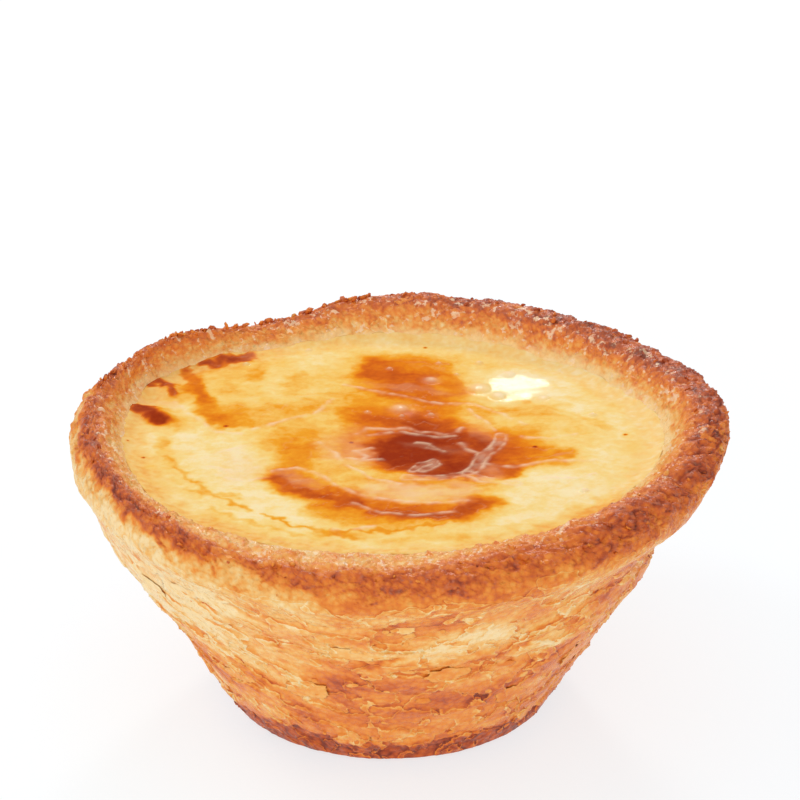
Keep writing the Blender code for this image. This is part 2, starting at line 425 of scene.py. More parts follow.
def wall_relief(points):
    """(height in mm, tone, covers) of the torn layers: how they stand out, and how brown."""
    angle = angle_of(points)
    share = wall_share(points)
    radius = np.hypot(points[:, 0], points[:, 1])
    spread = wall_spread(points)
    torn = spread + 0.9 * drift(spread, 3.0, 1) + 0.4 * drift(spread, 1.1, 2)

    ragged = share * LEDGES + 0.35 * grain(torn, 4.0, 3) + 0.10 * grain(torn, 1.2, 4)
    within = ragged % 1.0
    ledge = np.where(within < LEDGE_LIP, within / LEDGE_LIP, (1.0 - within) / (1.0 - LEDGE_LIP))
    presence = 0.10 + 0.40 * smooth(0.0, 0.7, grain(spread, 5.0, 5))
    height = LEDGE_DEPTH / MM * (ledge - 0.5) * presence

    low = round_table(WALL_TONES, 1, angle)
    high = round_table(WALL_TONES, 2, angle)
    tone = low + (high - low) * smooth(0.2, 0.95, share)
    covers = []
    for number, (size, rarity, thickness) in enumerate(TORN_SHEETS):
        cover = grain(torn, size, 20 + number, octaves=3) - rarity
        sheet = smooth(-0.05, 0.05, cover)
        curl = bell(cover - 0.10, 0.08) * sheet
        height += thickness * (sheet + 0.5 * curl - 0.5)
        tone += (0.10 * grain(spread, 2.8, 30 + number) - 0.03) * sheet
        covers.append(cover * 0.5 + 0.5)
    height += 0.04 * grain(spread, 1.6, 6, octaves=2)

    for at, level, length, tall, change in WALL_PATCHES:
        along = radius * np.radians((angle - at + 180.0) % 360.0 - 180.0) / (length * MM)
        up = (share - level) * WALL_LENGTH / (tall * MM)
        tone += change * np.exp(-((along**2 + up**2) ** 1.5))
    middle = 27.0 * math.radians(1.0)
    sway = 0.3 * grain(spread, 0.8, 9)
    for width, line in WALL_CRACKS:
        flat = [(at * middle, level * WALL_LENGTH / MM) for at, level in line]
        away = from_line(angle % 360.0 * middle + sway, share * WALL_LENGTH / MM + sway, flat)
        crack = bell(away, width)
        # Each crack is sunk a little and drawn browner: painted shade in the crack.
        height -= 0.15 * crack
        tone += 0.26 * crack

    strands = grain(spread * [0.4, 0.4, 1.0], 1.3, 19, octaves=3)
    tone += (0.06 + 0.10 * fall_off(angle, 215, 34)) * strands
    tone += 0.16 * grain(spread, 4.2, 7, octaves=2) + 0.09 * grain(torn, 1.5, 8, octaves=3)
    foot = 0.040 + 0.035 * fall_off(angle, 240, 26) + 0.02 * fall_off(angle, 300, 30)
    foot += 0.030 * grain(spread, 1.5, 12) + 0.022 * grain(spread, 0.5, 13)
    browned = 1.0 - smooth(foot, foot + 0.03, share)
    tone += (0.84 + 0.10 * grain(spread, 0.8, 14) - tone) * browned
    height += (0.22 * grain(spread, 1.1, 15, octaves=2) - 0.12) * browned
    return height, tone, covers


def wall_profile():
    """From the case's floor up its hollow, over under the rim, and down the wall to the foot."""
    floor_corner = (FLOOR_RADIUS, FLOOR_HEIGHT + 0.4 * MM)
    inner_top = (FILLING_RADIUS - 0.2 * MM, FILLING_LEVEL - 2.2 * MM)
    under_rim = (RIM_RADIUS - 0.8 * MM, RIM_HEIGHT - 2.8 * MM)
    heel = (BASE_RADIUS - 0.4 * MM, 0.55 * MM)
    foot_inside = (BASE_RADIUS - FOOT_ROUNDING * 1.2, 0.0)
    profile = between((0.0, FLOOR_HEIGHT), floor_corner, 2)
    profile += between(floor_corner, inner_top, 3)
    profile += between(inner_top, under_rim, 2)
    profile += between(under_rim, wall_point(1.06, -0.3 * MM), 3)
    profile += between(wall_point(1.06, -0.3 * MM), wall_point(1.03), 1)
    profile += between(wall_point(1.03), wall_point(0.0), WALL_ROWS)
    profile += between(wall_point(0.0), heel, 4)
    profile += between(heel, foot_inside, 4)
    return profile + between(foot_inside, (0.0, 0.0), 3) + [(0.0, 0.0)]


def make_wall():
    """The case's wall, foot and hollow, with the torn ends of its layers."""
    mesh = wrapped("pastry_wall", wall_profile(), WALL_STEPS)
    turned = places(mesh)
    share = wall_share(turned)
    radius = np.hypot(turned[:, 0], turned[:, 1])
    facing = directions(mesh)
    outside = smooth(0.1, 0.4, (facing[:, :2] * turned[:, :2]).sum(1) / np.maximum(radius, 1e-9))
    on_wall = outside * (1.0 - smooth(1.01, 1.05, share)) * smooth(-0.05, 0.03, share)
    height, tone, covers = wall_relief(turned)
    put_places(mesh, settle(turned + facing * (height * MM * on_wall)[:, None]))
    put_value(mesh, "bake", tone)
    put_value(mesh, "large_sheets", covers[0])
    put_value(mesh, "small_sheets", covers[1])
    put_vector(mesh, "spread", wall_spread(turned))
    return mesh


# Pastry rim


def roll_angle_of(points):
    """The angle in degrees round the rim's section, 0 outwards and 90 at the top."""
    radius = np.hypot(points[:, 0], points[:, 1])
    return np.degrees(np.arctan2(points[:, 2] - RIM_HEIGHT + RIM_ROLL, radius - RIM_RADIUS))


def rim_spread(points):
    """The rim's own places, from its outside, over the crest and down the inner slope."""
    radius = np.hypot(points[:, 0], points[:, 1])
    roll_angle = roll_angle_of(points)
    on_roll = np.radians(np.clip(roll_angle, -25.0, 140.0))
    beyond = np.hypot(
        radius - RIM_RADIUS - RIM_ROLL * np.cos(on_roll),
        points[:, 2] - RIM_HEIGHT + RIM_ROLL - RIM_ROLL * np.sin(on_roll),
    )
    arc = on_roll * RIM_ROLL + np.where(roll_angle > 100.0, beyond, -beyond)
    return spread_out(points, arc, 0.72)


def rim_relief(points):
    """(height in mm, tone, covers) of the crumbly rim, darkest on and just outside its crest.

    Below the crest it turns into the torn layers of the wall.
    """
    angle = angle_of(points)
    roll_angle = roll_angle_of(points)
    inner = smooth(100, 150, roll_angle)
    outer = 1.0 - smooth(-5, 35, roll_angle)
    spread = rim_spread(points)
    warped = spread + 0.8 * drift(spread, 2.2, 11) + 0.3 * drift(spread, 0.8, 12)
    big = grain(spread, 6.5, 10, octaves=2)
    coarse = grain(warped, 3.0, 13, octaves=2)
    crumb = grain(warped, 1.2, 14, octaves=2)
    fine = grain(warped, 0.5, 15, octaves=2)
    torn = terraced(grain(warped, 2.0, 16, octaves=2), 3.5, 0.15)
    crease = 1.0 - smooth(0.0, 0.07, np.abs(grain(warped, 3.2, 17)))
    blister = smooth(0.10, 0.55, grain(spread, 1.0, 18))

    pebbles = np.abs(grain(warped, 0.9, 19, octaves=2))
    height = 0.20 * big + 0.14 * coarse + (0.12 + 0.08 * inner) * crumb + 0.15 * fine
    height += 0.28 * torn * (1.0 - 0.5 * inner) - 0.20 * crease * (1.0 - 0.5 * inner)
    height += 0.13 * blister * inner + 0.40 * (np.minimum(pebbles, 0.4) - 0.2)

    slope = round_table(RIM_TONES, 1, angle)
    crest = round_table(RIM_TONES, 2, angle)
    below = round_table(RIM_TONES, 3, angle)
    reach = round_table(RIM_TONES, 4, angle)
    centre = round_table(RIM_TONES, 5, angle)
    base = slope + (below - slope) * (1.0 - smooth(20, 100, roll_angle))
    edge = roll_angle + 18.0 * coarse + 14.0 * crumb
    tone = base + (crest - base) * np.exp(-((np.abs(edge - centre) / reach) ** 3))
    tone += 0.09 * coarse + (0.07 + 0.12 * inner) * (crumb + fine)
    # Creases and the lines between pebbles sit low and are drawn darker: painted shade in the
    # crevices.
    tone += 0.14 * crease * (1.0 - inner) - 0.08 * blister * inner + 0.08 * torn
    tone += 0.12 * (1.0 - smooth(0.0, 0.14, pebbles)) - 0.02
    tone += (round_table(EDGE_TONES, 1, angle) - tone) * 0.9 * smooth(154, 176, edge)
    calm = smooth(158, 176, roll_angle)
    height *= (1.0 - 0.4 * outer) * (1.0 - 0.8 * calm)

    layer_height, layer_tone, covers = wall_relief(points)
    layered = 1.0 - smooth(-22.0, 22.0, roll_angle + 16.0 * coarse + 10.0 * crumb)
    height += (0.6 * layer_height - height) * layered
    tone += (layer_tone - tone) * layered
    return height, tone, [cover - 0.5 * (1.0 - layered) for cover in covers]


def rim_profile():
    """Round the rim's section: the inner slope, the roll, the skirt, and back underneath."""
    sunk = (FILLING_RADIUS - 0.9 * MM, FILLING_LEVEL - 1.3 * MM)
    lip = (FILLING_RADIUS, FILLING_LEVEL - 0.4 * MM)
    step = (FILLING_RADIUS + 0.8 * MM, FILLING_LEVEL + 0.3 * MM)
    skirt_low = wall_point(0.93, 0.06 * MM)
    tuck = wall_point(0.94, -0.6 * MM)
    under = (RIM_RADIUS - 1.5 * MM, RIM_HEIGHT - 4.0 * MM)
    sunk_low = (FILLING_RADIUS - 0.9 * MM, FILLING_LEVEL - 1.8 * MM)
    profile = between(sunk, lip, 5) + between(lip, step, 5)
    profile += between(step, roll_point(140), 10)
    rows = 46
    profile += [roll_point(140 - 165 * row / rows) for row in range(rows)]
    profile += between(roll_point(-25), skirt_low, 18)
    profile += between(skirt_low, tuck, 2) + between(tuck, under, 2)
    return profile + between(under, sunk_low, 2) + [sunk_low, sunk]


def make_rim():
    """The rolled rim, whose browned outer layer ends in a ragged edge on the wall."""
    mesh = wrapped("pastry_rim", rim_profile(), RIM_STEPS)
    turned = places(mesh)
    share = wall_share(turned)
    radius = np.hypot(turned[:, 0], turned[:, 1])
    spread = rim_spread(turned)
    outer = smooth(RIM_RADIUS + 0.3 * MM, RIM_RADIUS + 1.2 * MM, radius)
    height, tone, covers = rim_relief(turned)
    skirt = (1.0 - smooth(0.95, 1.06, share)) * outer
    ragged = 1.1 * grain(spread, 3.4, 21, octaves=2) + 0.6 * grain(spread, 1.0, 22)
    slide = np.empty_like(turned)
    slide[:, :2] = turned[:, :2] / radius[:, None] * (ragged * skirt * MM * WALL_UP[0])[:, None]
    slide[:, 2] = ragged * skirt * MM * WALL_UP[1]
    sunk = turned[:, 2] + 0.5 * (radius - FILLING_RADIUS)
    shown = smooth(-1.6 * MM, -0.6 * MM, sunk - FILLING_LEVEL)
    fade = np.maximum(shown, outer) * (1.0 - 0.6 * skirt)
    moved = turned + directions(mesh) * (height * MM * fade)[:, None] + slide
    put_places(mesh, settle(moved))
    put_value(mesh, "bake", tone)
    put_value(mesh, "large_sheets", covers[0])
    put_value(mesh, "small_sheets", covers[1])
    creamed = roll_angle_of(turned) + 16.0 * grain(spread, 1.6, 23, octaves=3)
    put_value(mesh, "cream", smooth(156.0, 178.0, creamed) * (1.0 - outer))
    # Painted highlights: the share of the rim's inner side that gets painted wet glints.
    painted_glints = round_table(RIM_PAINTED_GLINTS, 1, angle_of(turned)) * (1.0 - outer)
    put_value(mesh, "painted_glints", painted_glints * smooth(74.0, 112.0, creamed))
    on_wall = smooth(60.0, 20.0, roll_angle_of(turned))[:, None]
    put_vector(mesh, "spread", spread + (wall_spread(turned) - spread) * on_wall)
    return mesh


# Flakes and crumbs

FRONT_FLAKES = [
    (262.5, 0.715, 7.0, 2.4, 0.05, 0.22, 0.1),
    (304.0, 0.63, 4.0, 2.8, 0.05, 0.26, 0.0),
    (229.0, 0.90, 6.0, 2.2, 0.10, 0.06, -0.3),
    (236.5, 0.94, 5.0, 1.4, 0.10, 0.05, -0.3),
    (222.0, 0.96, 4.4, 2.0, 0.10, 0.10, -0.2),
    (251.0, 1.00, 5.0, 1.4, 0.06, 0.10, -0.2),
    (260.0, 0.985, 4.0, 1.1, 0.06, 0.14, -0.1),
    (296.5, 0.99, 3.6, 1.3, 0.06, 0.14, 0.1),
    (301.5, 0.97, 2.8, 1.6, 0.06, 0.22, 0.3),
    (271.6, 0.91, 2.0, 1.1, 0.06, 0.16, 0.0),
]
"""Sheets seen at the front: angle, share, length and height in mm, lift, tone, lean."""


def lay_flakes(name, rows, sides, rings):
    """One piece of many torn flakes that lie on the wall with their lower edges lifted."""
    shape = bmesh.new()
    bmesh.ops.create_uvsphere(shape, u_segments=sides, v_segments=rings, radius=1.0)
    mesh, which, unit = copies(name, shape, int(math.log2(len(rows))))
    angle, share, length, tall, lift, tone, lean = np.array(rows)[which].T

    around = np.arctan2(unit[:, 1], unit[:, 0])
    ring = np.minimum(np.hypot(unit[:, 0], unit[:, 1]), 1.0)
    outline = np.column_stack([np.cos(around), np.sin(around), which * 7.31])
    ragged = 1.0 + 0.28 * grain(outline, 1.0, 41) + 0.22 * grain(outline, 0.45, 42)
    ragged += 0.12 * grain(outline, 0.2, 43)
    along = ring * np.cos(around) * ragged * length / 2.0
    level = ring * np.sin(around) * ragged
    up = level * tall / 2.0 - lean * along
    thick = (1.0 - ring**6) * np.sign(unit[:, 2]) * 0.04
    bend = 0.05 * grain(np.column_stack([along, up, which * 3.7]), 1.2, 44)
    proud = thick + lift * smooth(0.3, -1.0, level) + bend - 0.10 * smooth(-0.2, 1.0, level) + 0.04

    low = WALL_LOW + WALL_UP * WALL_LENGTH * share[:, None]
    section = low + WALL_UP * (up * MM)[:, None] + WALL_OUT * (proud * MM)[:, None]
    turn = np.radians(angle) + along * MM / low[:, 0]
    turned = np.column_stack(
        [section[:, 0] * np.cos(turn), section[:, 0] * np.sin(turn), section[:, 1]]
    )
    put_places(mesh, settle(turned))
    put_value(mesh, "bake", tone - 0.06 * ring**4 + 0.10 * grain(turned, 2.0 * MM, 45))
    put_vector(mesh, "spread", np.column_stack([along * 0.5, up, which * 7.7]))
    return mesh


def tone_at(table, angle, share):
    """The wall's tone at one place, from its table."""
    low = float(round_table(table, 1, angle))
    return low + (float(round_table(table, 2, angle)) - low) * float(smooth(0.2, 0.95, share))


def make_sheets():
    """The larger torn sheets."""
    dice = np.random.default_rng(7)
    rows = list(FRONT_FLAKES)
    while len(rows) < 32:
        angle = (len(rows) * 137.5 + 20.0) % 360.0
        share = dice.uniform(0.14, 0.92)
        tall = dice.uniform(1.6, 3.4)
        tone = tone_at(WALL_TONES, angle, share) - 0.08 + dice.normal() * 0.03
        lean = dice.uniform(-0.2, 0.2)
        rows.append((angle, share, tall * dice.uniform(1.4, 2.4), tall, 0.08, tone, lean))
    return lay_flakes("wall_sheets", rows, 48, 8)


def make_flakes():
    """The small flakes that stick to the wall."""
    dice = np.random.default_rng(8)
    rows = []
    while len(rows) < 256:
        angle = dice.uniform(0.0, 360.0)
        share = dice.uniform(0.03, 1.0)
        tall = 0.30 + 0.6 * dice.uniform() ** 2
        tone = tone_at(WALL_TONES, angle, share) - 0.10 + dice.normal() * 0.06
        if share < 0.10:
            tone = 0.66
        length = tall * dice.uniform(1.2, 2.6)
        lift = dice.uniform(0.03, 0.12)
        rows.append((angle, share, length, tall, lift, tone, dice.uniform(-0.3, 0.3)))
    return lay_flakes("wall_flakes", rows, 10, 5)


def make_crumbs():
    """Broken flake ends and crumbs along the rim's crest."""
    dice = np.random.default_rng(9)
    shape = bmesh.new()
    bmesh.ops.create_icosphere(shape, subdivisions=1, radius=1.0)
    mesh, which, unit = copies("rim_crumbs", shape, 8)
    count = which.max() + 1
    spiky = np.arange(count) < 90
    angle = np.where(spiky, dice.uniform(96.0, 168.0, count), dice.uniform(0.0, 360.0, count))
    roll = np.minimum(70.0 + dice.normal(size=count) * 24.0, 104.0)
    roll = np.where(spiky, 78.0 + dice.normal(size=count) * 9.0, roll)
    size = (0.14 + 0.30 * dice.uniform(size=count) ** 3 + 0.14 * spiky) * MM
    stretch = np.column_stack(
        [dice.uniform(0.9, 1.9, count), np.ones(count), dice.uniform(0.25, 0.7, count)]
    )
    axes = dice.normal(size=(count, 3))
    turns = np.array([Vector(axis).to_track_quat("Z", "Y").to_matrix() for axis in axes])
    own = np.einsum("nij,nj->ni", turns[which], unit * (stretch * size[:, None])[which])
    own += 0.10 * MM * drift(unit + 5.0 * which[:, None], 0.9, 51)
    reach = RIM_ROLL + 0.25 * size
    radius = RIM_RADIUS + reach * np.cos(np.radians(roll))
    height = RIM_HEIGHT - RIM_ROLL + reach * np.sin(np.radians(roll))
    turn = np.radians(angle)
    middles = np.column_stack([radius * np.cos(turn), radius * np.sin(turn), height])
    put_places(mesh, settle(middles[which] + own))
    tone = round_table(RIM_TONES, 2, angle) - 0.04 + 0.10 * dice.normal(size=count)
    put_value(mesh, "bake", tone[which])
    put_vector(mesh, "spread", own / MM + 7.7 * which[:, None])
    return mesh


# Custard

SKIN_TONES = [
    (0.26, 14.6, 6.0, 7.0, 5.0, 0, 0.8),
    (0.38, 13.0, 7.8, 3.8, 1.8, -20, 0.8),
    (0.26, 9.6, 21.5, 5.6, 2.6, -14, 0.7),
    (0.22, -14.0, 13.0, 8.5, 11.0, 8, 0.9),
    (0.04, -17.4, -4.0, 3.2, 4.5, 15, 0.95),
    (0.06, -19.0, -8.0, 7.0, 3.0, -50, 0.9),
    (0.03, -13.0, -16.4, 6.6, 2.6, -40, 0.9),
    (0.03, -14.6, -11.0, 2.2, 4.0, -20, 0.9),
    (0.05, 16.0, -12.5, 9.0, 4.6, 40, 0.9),
    (0.02, 20.0, 9.0, 2.4, 7.0, 20, 0.6),
    (0.00, 14.0, 15.0, 4.4, 5.0, -12, 0.9),
    (0.33, -19.0, 15.0, 2.2, 4.6, 10, 0.6),
    (0.38, -12.5, 7.4, 5.6, 2.2, 15, 0.8),
    (0.46, -18.8, 6.4, 3.0, 2.8, -40, 0.9),
    (0.42, -16.4, 17.6, 1.0, 2.4, 5, 0.8),
    (0.36, -11.4, 16.0, 1.2, 3.4, 0, 0.8),
    (0.12, -13.6, 14.0, 1.4, 3.6, 0, 0.5),
    (0.34, -8.8, 10.0, 1.6, 3.0, -20, 0.7),
    (0.05, -9.6, 21.6, 3.0, 2.6, 0, 0.8),
    (0.42, -10.8, -1.6, 4.2, 6.6, 5, 0.9),
    (0.50, -11.0, -3.4, 2.2, 3.6, 5, 0.9),
    (0.44, -8.8, -8.6, 3.4, 2.4, -20, 0.9),
    (0.62, -10.6, -9.6, 2.0, 1.6, -30, 0.7),
    (0.30, -4.0, -8.2, 4.0, 2.6, 0, 0.9),
    (0.40, 0.4, 16.6, 8.2, 6.0, -12, 0.95),
    (0.60, -0.2, 17.8, 5.2, 5.2, -30, 0.9),
    (0.76, 0.8, 15.6, 3.2, 2.6, -30, 0.9),
    (0.72, -2.8, 18.8, 2.2, 2.6, 0, 0.9),
    (0.54, 5.4, 14.6, 1.8, 4.2, 12, 0.9),
    (0.42, -0.4, 9.4, 7.4, 4.6, 0, 0.95),
    (0.70, 1.0, 12.6, 4.4, 2.2, -12, 0.95),
    (0.62, 3.6, 9.4, 3.2, 2.8, -8, 0.95),
    (0.56, -3.6, 6.6, 3.6, 2.4, 0, 0.9),
    (0.66, 0.0, 5.4, 7.0, 2.2, 2, 0.95),
    (0.86, 1.6, 5.0, 4.0, 1.7, 0, 0.95),
    (0.56, -3.6, 2.4, 3.4, 2.4, 0, 0.9),
    (0.42, 9.0, 7.6, 1.6, 3.0, 20, 0.8),
    (0.22, 8.6, 5.0, 1.8, 2.0, 0, 0.9),
    (0.44, 12.6, 1.4, 3.2, 2.0, -30, 0.9),
    (0.56, -4.4, -1.6, 3.2, 4.2, 0, 0.8),
    (0.80, 4.4, -2.4, 8.4, 7.2, -12, 0.95),
    (0.92, 3.2, -2.4, 6.4, 6.0, -12, 0.95),
    (1.04, 1.6, -1.8, 4.0, 4.8, 0, 0.95),
    (0.94, 4.8, -6.8, 4.4, 2.4, 0, 0.95),
    (0.86, 10.0, -2.8, 3.6, 3.6, 0, 0.95),
    (0.64, 13.8, -3.4, 3.8, 2.8, -2, 0.9),
    (0.46, 16.4, -3.8, 2.4, 2.0, 0, 0.9),
    (0.76, 10.6, -7.4, 2.8, 1.8, 15, 0.9),
    (0.46, 3.6, -10.6, 7.0, 1.5, -2, 0.9),
    (0.30, 3.0, -12.8, 6.4, 1.8, 0, 0.8),
    (0.36, -25.0, -2.4, 1.2, 3.4, 5, 0.8),
    (0.48, -6.0, -22.8, 2.4, 0.8, -4, 0.9),
    (0.34, 2.4, -23.6, 5.0, 0.9, 4, 0.8),
]
"""Tones of the skin, laid over each other: tone, x and y, half sizes in mm, turn, strength."""

SKIN_STROKES = [
    (0.42, 1.7, 0.9, [(-8.6, -16.6), (-5.0, -18.8), (-1.0, -20.0), (3.0, -20.0), (6.4, -18.8)]),
    (
        0.64,
        2.5,
        0.95,
        [
            (-12.6, -8.8),
            (-10.8, -11.6),
            (-7.0, -13.9),
            (-2.8, -15.9),
            (2.0, -17.0),
            (6.0, -16.8),
            (8.4, -15.8),
        ],
    ),
    (0.80, 1.2, 0.85, [(-12.8, -9.8), (-11.2, -12.0), (-8.6, -13.4), (-5.0, -15.2)]),
    (0.82, 1.2, 0.85, [(-2.6, -17.2), (1.4, -18.4), (5.6, -18.0), (8.4, -16.2)]),
    (0.66, 1.2, 0.9, [(-24.2, 18.6), (-23.4, 15.6), (-22.6, 12.4), (-21.8, 9.8)]),
    (0.54, 1.5, 0.9, [(-21.6, 8.4), (-20.2, 5.2), (-17.6, 3.2)]),
    (0.36, 1.2, 0.8, [(-17.0, 3.0), (-13.4, 4.2), (-10.6, 6.6)]),
    (0.40, 0.4, 0.8, [(-24.6, -5.0), (-21.8, -10.4), (-18.0, -15.0), (-15.4, -17.2)]),
    (
        0.48,
        0.35,
        0.8,
        [
            (-14.0, -18.0),
            (-10.6, -20.6),
            (-7.4, -22.2),
            (-4.6, -22.0),
            (-2.4, -21.0),
            (0.6, -21.4),
            (4.0, -20.8),
        ],
    ),
    (0.34, 0.4, 0.8, [(-22.6, -12.6), (-19.0, -14.2), (-16.4, -14.4)]),
    (0.34, 0.4, 0.7, [(-19.0, -17.4), (-15.0, -20.6), (-10.0, -23.4)]),
    (0.30, 0.5, 0.7, [(12.0, 12.0), (16.0, 8.0), (19.0, 7.0), (22.0, 3.0)]),
    (0.46, 1.9, 0.85, [(-21.8, 18.8), (-19.6, 20.8), (-17.2, 22.6)]),
    (0.86, 1.0, 0.95, [(-21.2, 19.4), (-19.4, 21.0), (-17.6, 22.4)]),
    (0.46, 2.2, 0.85, [(-28.6, 6.6), (-27.0, 5.8), (-25.2, 3.8)]),
    (1.00, 1.1, 0.95, [(-28.6, 7.0), (-27.2, 6.0), (-26.0, 4.4)]),
    (0.42, 2.0, 0.85, [(-27.4, 13.4), (-26.2, 12.6), (-25.0, 11.0)]),
    (0.86, 0.8, 0.9, [(-27.8, 13.2), (-26.9, 14.2), (-25.6, 13.6), (-25.0, 11.6)]),
]
"""Browned lines of the skin: tone, half width in mm, strength, then the points they join."""

FILM_AND_REFLECTION_SPOTS = [
    (-6.2, -2.6, 2.6, 4.2, 20, 0.55),
    (-5.4, 2.0, 2.0, 2.0, 0, 0.25),
    (1.0, -12.6, 5.0, 2.0, -4, 0.95),
    (6.6, -12.4, 2.0, 2.8, 0, 0.85),
    (-10.4, -9.6, 3.0, 1.2, -35, 0.45),
    (3.6, -1.6, 3.6, 1.0, -12, 0.20),
    (8.6, 3.6, 1.6, 3.2, 0, 0.40),
    (9.4, -7.6, 1.2, 1.6, 10, 0.45),
    (-4.0, -5.0, 1.6, 2.4, 0, 0.40),
    (0.8, 13.8, 5.0, 1.0, -14, 0.35),
    (-23.6, 22.2, 3.0, 1.2, 40, 0.7),
    (-27.8, 16.8, 1.2, 2.0, -20, 0.6),
    (-28.6, 9.4, 1.4, 0.9, -30, 0.6),
    (-26.0, 9.0, 1.6, 0.8, -40, 0.5),
    (-16.8, -7.0, 2.6, 4.0, 10, 0.4),
]
# Where the skin has lifted into a pale film, and where pale painted reflections of a soft light
# lie on the glossy skin: x and y, half sizes in mm, turn, strength.
"""Where the skin has lifted into a pale film: x and y, half sizes in mm, turn, strength."""

WRINKLES = [
    (0.34, [(-4.6, 2.0), (-3.6, 3.5), (-1.2, 3.0), (0.6, 3.6), (2.2, 2.6), (3.6, 2.8)]),
    (0.34, [(3.6, 2.8), (4.6, 1.6), (5.6, 2.2), (6.6, 3.4)]),
    (0.26, [(-3.4, 1.8), (0.4, 2.5), (2.6, 1.7), (4.4, 1.1), (5.6, 1.4)]),
    (0.30, [(6.4, -0.4), (7.2, -2.2), (8.6, -3.0), (9.6, -1.8)]),
    (0.50, [(11.0, 1.4), (10.2, -1.2), (8.8, -3.6), (8.2, -6.0), (7.2, -7.9)]),
    (0.46, [(0.6, -9.4), (4.0, -9.2), (7.0, -8.0), (8.6, -9.5), (12.2, -10.5)]),
    (0.40, [(1.4, -7.6), (2.2, -6.0), (3.6, -5.0), (3.9, -5.8), (2.4, -7.4)]),
    (0.26, [(-6.4, 14.8), (-2.4, 12.8), (1.2, 11.0), (4.6, 10.0), (8.2, 10.0)]),
    (0.26, [(8.2, 10.0), (11.0, 7.6), (13.6, 4.0)]),
    (0.30, [(-4.6, -5.8), (-3.4, -4.0), (-5.0, -2.6), (-3.0, -1.8)]),
    (0.28, [(-5.6, -4.6), (-3.8, -5.0), (-1.6, -4.4)]),
    (0.28, [(-8.4, -1.0), (-6.8, -3.6), (-5.4, -6.8), (-3.0, -9.6), (0.0, -11.0)]),
    (0.32, [(-13.4, -8.0), (-11.0, -7.0), (-8.6, -8.2), (-6.6, -11.2), (-4.2, -13.4)]),
    (0.30, [(-4.2, -13.4), (-1.0, -14.6), (3.0, -15.4), (7.0, -15.0)]),
    (0.26, [(-5.0, -15.4), (-1.6, -17.8), (1.6, -18.4), (5.6, -17.4)]),
    (0.30, [(8.8, -5.6), (12.0, -6.2), (16.6, -5.0), (20.4, -5.4)]),
    (0.24, [(1.8, -0.4), (3.2, -0.8), (4.0, -2.0)]),
    (0.22, [(3.0, -1.6), (4.6, -2.4)]),
    (0.30, [(-16.0, 2.0), (-12.6, 4.4), (-9.6, 6.2), (-7.4, 10.4)]),
    (0.28, [(-25.0, 9.6), (-22.6, 5.6), (-19.6, 1.6), (-17.0, 1.0)]),
    (0.28, [(-21.0, -5.0), (-18.6, -3.4), (-16.0, -1.8)]),
    (0.26, [(-19.0, -9.0), (-16.4, -10.4), (-14.2, -9.6)]),
    (0.26, [(-20.0, -7.0), (-17.4, -8.0), (-15.0, -7.0)]),
    (0.30, [(-6.6, -21.6), (-4.4, -21.4), (-2.6, -20.6)]),
    (0.24, [(7.6, 8.6), (9.4, 5.4), (10.4, 2.8)]),
    (0.24, [(13.0, 1.0), (16.0, 0.4), (19.0, 1.6)]),
    (0.22, [(15.0, -9.0), (18.0, -9.6), (20.4, -8.6)]),
]
"""Raised wrinkles of the skin: half width in mm, then the points they run through."""

BUBBLES = [
    (3.5, 16.0, 0.85, 0.13),
    (0.0, 8.2, 1.05, 0.15),
    (8.8, 14.2, 1.35, 0.16),
    (10.8, 12.4, 0.9, 0.16),
    (15.8, 11.6, 0.8, 0.14),
    (12.2, 17.6, 0.8, 0.14),
    (9.0, 21.0, 0.45, 0.20),
    (-17.5, 20.0, 0.40, 0.20),
    (-10.5, 24.5, 0.40, 0.20),
    (21.0, 6.4, 0.45, 0.18),
    (4.4, 20.6, 0.35, 0.12),
    (-1.2, 19.0, 0.35, 0.12),
    (3.4, 7.2, 0.40, 0.14),
    (0.2, 6.4, 0.30, 0.12),
    (19.0, -12.4, 0.45, 0.16),
    (6.4, 17.8, 0.3, 0.1),
    (-3.6, 7.6, 0.3, 0.1),
]
"""Small bubbles under the skin: x and y, radius and height, in mm."""

SPECKS = [
    (-18.8, 3.0),
    (-29.0, -1.3),
    (-27.0, -5.0),
    (24.2, 1.3),
    (14.4, -1.6),
    (-5.2, -0.4),
    (2.9, 25.0),
]


def in_spot(x, y, at_x, at_y, length, width, turn, hardness=2.0):
    """1 in the middle of an oval spot, and 0 outside it, with a soft edge."""
    cosine, sine = math.cos(math.radians(turn)), math.sin(math.radians(turn))
    along = ((x - at_x) * cosine + (y - at_y) * sine) / length
    beside = ((y - at_y) * cosine - (x - at_x) * sine) / width
    return np.exp(-((along**2 + beside**2) ** hardness))


